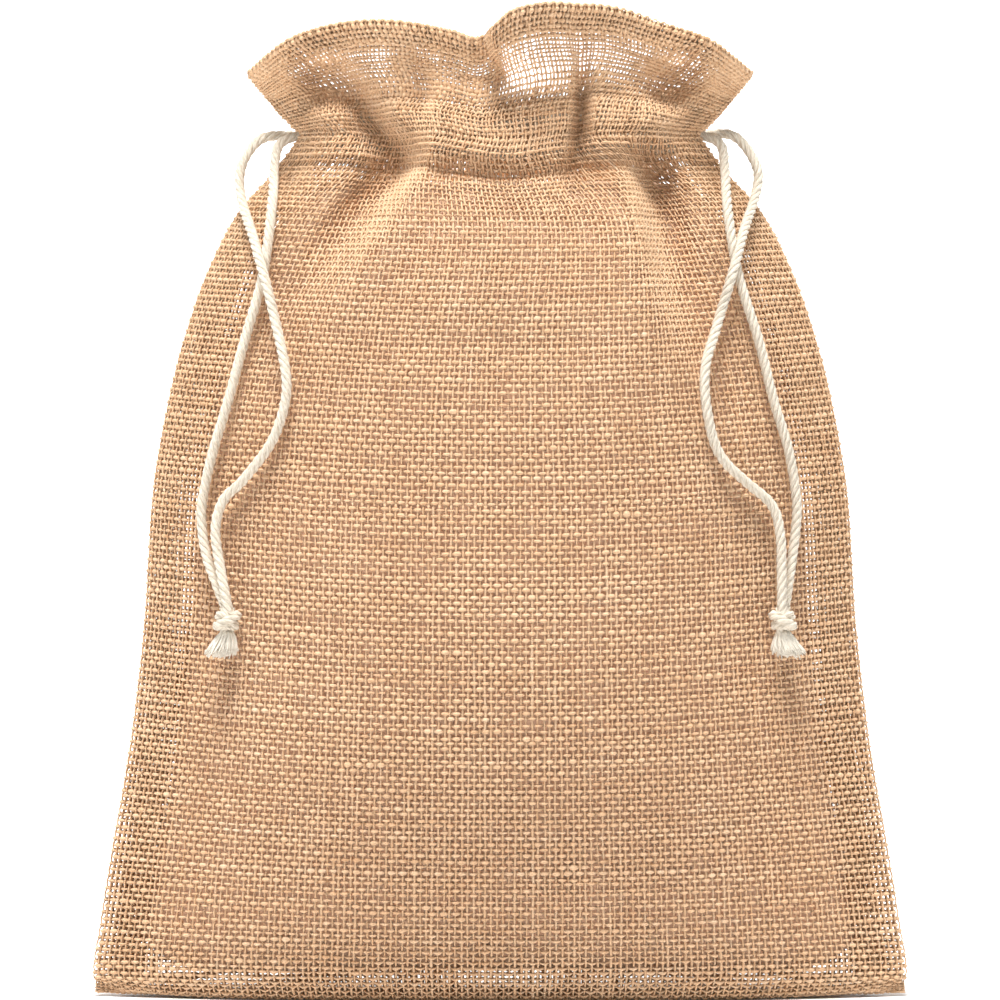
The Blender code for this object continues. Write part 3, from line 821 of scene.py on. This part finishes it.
# An overhand knot seen as its wraps: a turn of cord wound down round the two legs, and a second
# shorter turn that crosses over it at a slant.
def knotPiece(side, place):
    hand = -1 if side == "left" else 1
    turn = np.linspace(-0.9, 2 * math.pi * 1.08, 70)
    radius = 0.0021
    wrap = np.stack(
        [
            hand * radius * 1.08 * np.sin(turn),
            -radius * 0.92 * np.cos(turn),
            0.0017 - 0.0030 * turn / (2 * math.pi) + 0.0007 * np.sin(turn + 0.6),
        ],
        -1,
    )
    slant = np.linspace(-1.9, 1.9, 40)
    cross = np.stack(
        [
            -hand * (radius + 0.0007) * 1.05 * np.sin(slant),
            -(radius + 0.0012) * 0.9 * np.cos(slant),
            0.0003 + 0.0016 * np.sin(slant * 0.9),
        ],
        -1,
    )
    parts = [
        laidCord(wrap + place, (0, 0, 1), -hand, 0.0033),
        laidCord(cross + place, (0, 0, 1), -hand, 0.0031),
    ]
    top = np.linspace(0.0042, -0.0042, 16)
    for shift in (-0.0010, 0.0010):
        core = np.stack([np.full(16, shift), np.full(16, shift * 0.4), top], -1)
        parts.append(laidCord(core + place, (0, 1, 0), -hand, 0.0026))
    return joined(parts)


# Frayed ends: each fibre leaves the knot near its middle and spreads down and outwards in a slight wave.
def tasselPiece(side, place, rng):
    count, rings = cords["tasselFibres"], 9
    t = np.linspace(0, 1, rings)[None, :]
    spot = rng.uniform(0, 2 * math.pi, (count, 1))
    share = np.sqrt(rng.uniform(0, 1, (count, 1)))
    startX, startY = 0.0017 * share * np.cos(spot), 0.0013 * share * np.sin(spot)
    endX, endY = 0.0052 * share * np.cos(spot), 0.0026 * share * np.sin(spot)
    drop = cords["tasselLength"] * (1.02 - 0.16 * share**2 + 0.07 * rng.normal(size=(count, 1)))
    spread = t**0.8
    wave = 0.00022 * np.sin(t * rng.uniform(3, 8, (count, 1)) + rng.uniform(0, 6, (count, 1))) * t
    lean = (-1 if side == "left" else 1) * cords["tasselLean"]
    x = startX + (endX - startX) * spread + wave + lean * drop * t**1.2 * 0.75
    y = startY + (endY - startY) * spread - wave
    z = -0.0030 - drop * t * (1 - 0.06 * t)
    centre = np.stack([x, y, z], -1) + place
    along = unit(np.gradient(centre, axis=1))
    out = unit(np.cross(along, np.array([0, 1.0, 0])))
    thick = 0.00030 * (1 - 0.55 * t**2) * rng.uniform(0.7, 1.3, (count, 1))
    made = tubes(centre, out, np.cross(out, along), thick, thick, roundRing(4))
    made["uv"] = made["uv"] + np.repeat(rng.uniform(0, 3, count), rings * 4)[:, None]
    return made


def makeCords():
    rng = np.random.default_rng(5)
    for side, hand in (("left", -1), ("right", 1)):
        body = f"{side}_cord"
        inner, place = legLine(side, "inner")
        outer, place = legLine(side, "outer", inner)
        mesh = tubeMesh(f"{side}Knot", knotPiece(side, place))
        knot = addPiece(mesh, cotton, body, [f"{side}_knot"])
        mesh = tubeMesh(f"{side}Tassel", tasselPiece(side, place, rng))
        tassel = addPiece(mesh, frayedPaintedLight, body, [f"{side}_tassel"])
        for which, line in (("inner", inner), ("outer", outer)):
            mesh = tubeMesh(f"{side}{which.title()}Leg", laidCord(line, (0, 1, 0.0), hand))
            leg = addPiece(mesh, cotton, body, [f"{side}_{which}_leg"])
            [knot, tassel] if which == "inner" else []


makeCords()
print("cords made")


# How thick the threads are at each sample of a cloth: finer in the single layer of the ruffle, which
# lets light through, and packed close in the belly.
def threadFineness(grid, side):
    x, z = grid[..., 0], grid[..., 2]
    if side == "back":
        return np.full(x.shape, 1.06)
    ruffle = 1 + sheer["dense"] * easeIn(0.268, 0.276, z)
    for low, high, share, bottom in sheer["zones"]:
        here = easeIn(low - 0.003, low + 0.002, x) * easeIn(high + 0.003, high - 0.002, x)
        here = here * easeIn(bottom - 0.002, bottom + 0.003, z)
        here[len(x) - 8 * weave["hem"] :] = 0
        ruffle = ruffle * (1 - here) + (1 - share) * here
    return ruffle


sheer = {
    "zones": [  # from, to, how much finer, and the height it starts at
        (-0.047, -0.034, 0.18, 0.2800), (-0.020, -0.003, 0.12, 0.2780),
        (0.001, 0.020, 0.21, 0.2740), (0.021, 0.045, 0.14, 0.2820),
    ],
    "dense": 0.36,
}
clothShape = {}


def makeCloths():
    rng = np.random.default_rng(weave["seed"])
    for side in ("front", "back"):
        flat, rows = clothGrid(side)
        clothShape[side] = (flat, gridNormals(flat, side))
        grid, normal = turnedGrid(flat, side)
        thin = threadFineness(grid, side)
        weft, warp = (threadRuns(kind, grid, normal, rng, thin) for kind in ("weft", "warp"))
        cuts = np.linspace(0, rows + weave["hem"], len(zones) + 1).round().astype(int)
        for zone, low, high in zip(zones, cuts[:-1], cuts[1:]):
            made = clothStretch(weft, warp, low, high)
            replaced = [f"{side}_panel"] if zone == "Base" else []
            piece = addPiece(tubeMesh(f"{side}Cloth{zone}", made), jute, "pouch", replaced)
            print(piece.name, "triangles", len(made["quads"]) * 2 + len(made["tris"]))


makeCloths()


def innerSide(side, reach):  # how deep a cloth reaches inwards within some samples of each place
    flat = clothShape[side][0]
    sign = 1 if side == "front" else -1
    y = flat[..., 1] * sign
    padded = np.pad(y, ((0, 0), (reach, reach)), "edge")
    deepest = np.max([padded[:, k : k + y.shape[1]] for k in range(2 * reach + 1)], axis=0)
    padded = np.pad(deepest, ((0, 0), (reach, reach)), "edge")
    return sum(padded[:, k : k + y.shape[1]] for k in range(2 * reach + 1)) / (2 * reach + 1)


casing = {
    "low": 0.2538,
    "high": 0.2760,
    "half": 0.050,
    "edgeInset": 0.0013,
    "tunnelInset": 0.0058,
    "loopInset": 0.0036,
    "loopEnd": 0.0535,
    "legRoom": 0.0052,
    "loopSpacing": 0.0037,
    "reach": 16,  # samples to each side within which it clears the folds
}


def makeCasings():
    rng = np.random.default_rng(23)
    for side in ("front", "back"):
        flat = clothShape[side][0]
        inward = 1 if side == "front" else -1
        deepest = innerSide(side, casing["reach"])
        middle = flat.shape[1] // 2
        heights = flat[:, middle, 2]
        low, high = np.searchsorted(heights, (casing["low"] - 0.003, casing["high"]))
        low, high = low // 4 * 4, high // 4 * 4
        across = np.where(np.abs(flat[low, :, 0]) < casing["half"])[0]
        left, right = across[0] // 4 * 4, across[-1] // 4 * 4
        grid = flat[low : high + 1, left : right + 1].copy()
        hump = np.sin(np.linspace(0, math.pi, len(grid)))[:, None] ** 0.6
        inset = casing["edgeInset"] + (casing["tunnelInset"] - casing["edgeInset"]) * hump
        depth = grid[..., 1] * inward * (1 - hump) + deepest[low : high + 1, left : right + 1] * hump + inset
        depth = np.minimum(depth, -casing["legRoom"])
        grid[..., 1] = depth * inward
        face = gridNormals(grid, side)
        thin = np.ones(grid.shape[:2])
        weft, warp = (threadRuns(kind, grid, face, rng, thin) for kind in ("weft", "warp"))
        made = clothStretch(weft, warp, 0, (len(grid) - 1) // 4)
        piece = addPiece(tubeMesh(f"{side}Casing", made), jute, "pouch", [f"{side}_casing"])
        size = ((right - left) / 4 * weave["warpPitch"], (high - low) / 4 * weave["rowPitch"])
        print(piece.name, "flat", size)


makeCasings()


def loopLine(side, shift):  # a cord's run through one casing, behind the deepest folds
    flat = clothShape[side][0]
    inward = 1 if side == "front" else -1
    deepest = innerSide(side, casing["reach"])
    row = int(np.searchsorted(flat[:, -40, 2], pouch["neck"] + shift))
    x = np.linspace(-casing["loopEnd"], casing["loopEnd"], 120)
    y = np.interp(x, flat[row, :, 0], deepest[row]) + casing["loopInset"]
    z = np.interp(x, flat[row, :, 0], flat[row, :, 2])
    y = smoothed(y, 6) * inward
    return np.stack([x, y, smoothed(z, 6)], -1)


def makeLoops():
    for side, hand in (("left", -1), ("right", 1)):
        runs = (loopLine(face, -hand * casing["loopSpacing"]) for face in ("front", "back"))
        mesh = tubeMesh(f"{side}CordLoop", joined([laidCord(run, (0, 0, 1.0), hand, sides=6) for run in runs]))
        addPiece(mesh, cotton, "pouch", [f"{side}_cord_loop"])


makeLoops()
print("cloths, casings and loops made")


looseFibres = {"count": 1500, "rings": 6, "radius": 0.000035, "seed": 31}


# Short hairs of jute that stand off the cloth: each starts in a thread and bends away in a gentle arc.
def makeLooseFibres():
    rng = np.random.default_rng(looseFibres["seed"])
    parts = []
    for side in ("front", "back"):
        flat, normal = clothShape[side]
        count, rings = looseFibres["count"], looseFibres["rings"]
        r = rng.integers(90, flat.shape[0] - 4, count)
        c = rng.integers(6, flat.shape[1] - 6, count)
        root, out = flat[r, c], normal[r, c]
        over = unit(flat[r, np.minimum(c + 4, flat.shape[1] - 1)] - root)
        up = np.cross(out, over)
        angle = rng.uniform(0, 2 * math.pi, count)[:, None]
        way = over * np.cos(angle) + up * np.sin(angle) * 0.6
        bend = rng.normal(size=(count, 1)) * 0.5
        other = over * -np.sin(angle) + up * np.cos(angle)
        length = np.clip(0.0030 * np.exp(0.45 * rng.normal(size=(count, 1))), 0.001, 0.008)
        lift = rng.uniform(0.05, 0.45, (count, 1))
        t = np.linspace(0, 1, rings)[None, :, None]
        place = root[:, None] + out[:, None] * 0.0005
        place = place + length[:, None] * (way[:, None] * t + other[:, None] * bend[:, None] * t**2)
        centre = place + length[:, None] * out[:, None] * lift[:, None] * np.sin(t * 2.2)
        along = unit(np.gradient(centre, axis=1))
        level = unit(np.cross(along, out[:, None]))
        thick = looseFibres["radius"] * rng.uniform(0.7, 1.4, (count, 1)) * np.linspace(1, 0.4, rings)
        made = tubes(centre, level, np.cross(level, along), thick, thick, triangleRing)
        made["values"] = {"tone": np.repeat(rng.normal(size=count) * 1.2 + 0.8, rings * 3)}
        parts.append(made)
    addPiece(tubeMesh("looseFibres", joined(parts)), jute)


makeLooseFibres()
print("loose fibres made")


stitching = {"length": 0.0031, "gap": 0.0007, "half": 0.00034}


def seamStitches(line, outward, lift):  # short stitches end to end along a line, each dipping in at its ends
    run = distanceAlong(line)
    pitch = stitching["length"] + stitching["gap"]
    count = int(run[-1] / pitch)
    t = np.linspace(0, 1, 7)
    where = (np.arange(count)[:, None] + 0.5) * (run[-1] / count) + (t - 0.5) * stitching["length"]
    centre = np.stack([np.interp(where, run, line[:, k]) for k in range(3)], -1)
    out = unit(np.stack([np.interp(where, run, outward[:, k]) for k in range(3)], -1))
    arch = np.sin(t * math.pi) ** 0.6
    centre = centre + out * (lift * arch - 0.0005 * (1 - arch))[None, :, None]
    along = unit(np.gradient(centre, axis=1))
    side = unit(np.cross(along, out))
    half = stitching["half"] * (0.55 + 0.45 * arch)
    return tubes(centre, side, np.cross(side, along), half, half, roundRing(6))


def makeStitches():
    for side in ("front", "back"):
        flat, normal = clothShape[side]
        heights = np.linspace(-weave["baseDepth"], pouch["neck"] + weave["ruffleLength"], len(flat))
        lines = {
            "Lower": (f"{side}_lower_casing_stitch", pouch["neck"] - 0.0095, 6),
            "Upper": (f"{side}_upper_casing_stitch", pouch["neck"] + 0.0120, 6),
            "Hem": (f"{side}_hem_stitch", None, 12),
        }
        for name, (node, height, margin) in lines.items():
            row = len(flat) + 1 - 4 * (weave["hem"] - 1) if height is None else np.searchsorted(heights, height)
            keep = slice(margin * 4, flat.shape[1] - margin * 4)
            made = seamStitches(flat[row, keep], normal[row, keep], 0.00055)
            addPiece(tubeMesh(f"{side}{name}Stitches", made), thread, "pouch", [node])
    seams = {
        "leftSideStitches": ("left_side_stitch", -1, 0.006, 0.2500),
        "rightSideStitches": ("right_side_stitch", 1, 0.006, 0.2500),
        "leftRuffleStitches": ("left_frill_stitch", -1, 0.2775, 0.2840),
        "rightRuffleStitches": ("right_frill_stitch", 1, 0.2775, 0.2840),
    }
    for name, (node, sign, low, high) in seams.items():
        flat = clothShape["front"][0]
        column = flat[:, 4 if sign < 0 else -5]
        line = column[(column[:, 2] > low) & (column[:, 2] < high)] * np.array([1, 0, 1.0])
        made = seamStitches(line, np.full_like(line, 0) + np.array([sign, 0, 0.0]), 0.0003)
        addPiece(tubeMesh(name, made), thread, "pouch", [node])
    x = np.linspace(-0.118, 0.118, 200)
    line = np.stack([x, 0 * x, 0 * x + 0.0016], -1)
    made = seamStitches(line, np.zeros_like(line) + np.array([0, 0, -1.0]), 0.0003)
    addPiece(tubeMesh("bottomStitches", made), thread, "pouch", ["bottom_stitch"])


makeStitches()
print("stitches made")


filling = {"low": 0.008, "high": 0.2505, "inset": 0.0013, "reach": 5, "sideGap": 0.014, "crease": 0.0006}


# The crumpled paper inside: it follows both cloths at a small distance and is closed below and above.
def makeFilling():
    rng = np.random.default_rng(3)
    rows, around = 200, 300
    height = np.linspace(filling["low"], filling["high"], rows)[:, None]
    turn = np.linspace(0, 2 * math.pi, around, endpoint=False)[None, :]
    close = np.clip(np.minimum((height - filling["low"]) / 0.012, (filling["high"] - height) / 0.007), 0, 1)
    close = np.sin(close * math.pi / 2) ** 0.6
    half = smoothCurve(pouch["outline"], height) - filling["sideGap"]
    x = half * np.cos(turn) * (0.80 + 0.20 * close)
    room = np.zeros(x.shape)
    for side, there in (("front", np.sin(turn) < 0), ("back", np.sin(turn) >= 0)):
        flat = clothShape[side][0]
        deepest = np.abs(innerSide(side, filling["reach"]))
        nearest = np.searchsorted(flat[80:, flat.shape[1] // 2, 2], height[:, 0]).clip(0, len(flat) - 81) + 80
        reached = [np.interp(x[k], flat[row, :, 0], deepest[row]) for k, row in enumerate(nearest)]
        room = np.where(there, reached, room)
    room = np.maximum(room - filling["inset"], 0.0005)
    end = np.clip(np.abs(np.sin(turn)) / 0.35, 0, 1) ** 0.6
    y = np.sign(np.sin(turn)) * room * end * close
    points = np.stack(np.broadcast_arrays(x, y, height), -1)
    crumple = np.zeros(points.shape[:2])
    for k in range(14):
        way = unit(rng.normal(size=3))
        crumple += np.abs(np.sin((points @ way) * rng.uniform(60, 240) + rng.uniform(0, 6))) / 14
    points[..., 1] *= 1 - np.clip(filling["crease"] * 2 * crumple / np.maximum(room, 0.004), 0, 0.6)
    index = np.arange(rows * around).reshape(rows, around)
    low, high = index[:-1], index[1:]
    quads = np.stack([low, np.roll(low, -1, 1), np.roll(high, -1, 1), high], -1).reshape(-1, 4)
    flat = points.reshape(-1, 3)
    flat = np.concatenate([flat, points[0].mean(0)[None], points[-1].mean(0)[None]])
    bottom, top = len(flat) - 2, len(flat) - 1
    tris = np.concatenate([
        np.stack([np.roll(index[0], -1), index[0], np.full(around, bottom)], -1),
        np.stack([index[-1], np.roll(index[-1], -1), np.full(around, top)], -1),
    ])
    addPiece(meshFrom("kraftFilling", flat, quads, tris), paper)


makeFilling()
print("filling made")

bpy.context.view_layer.update()
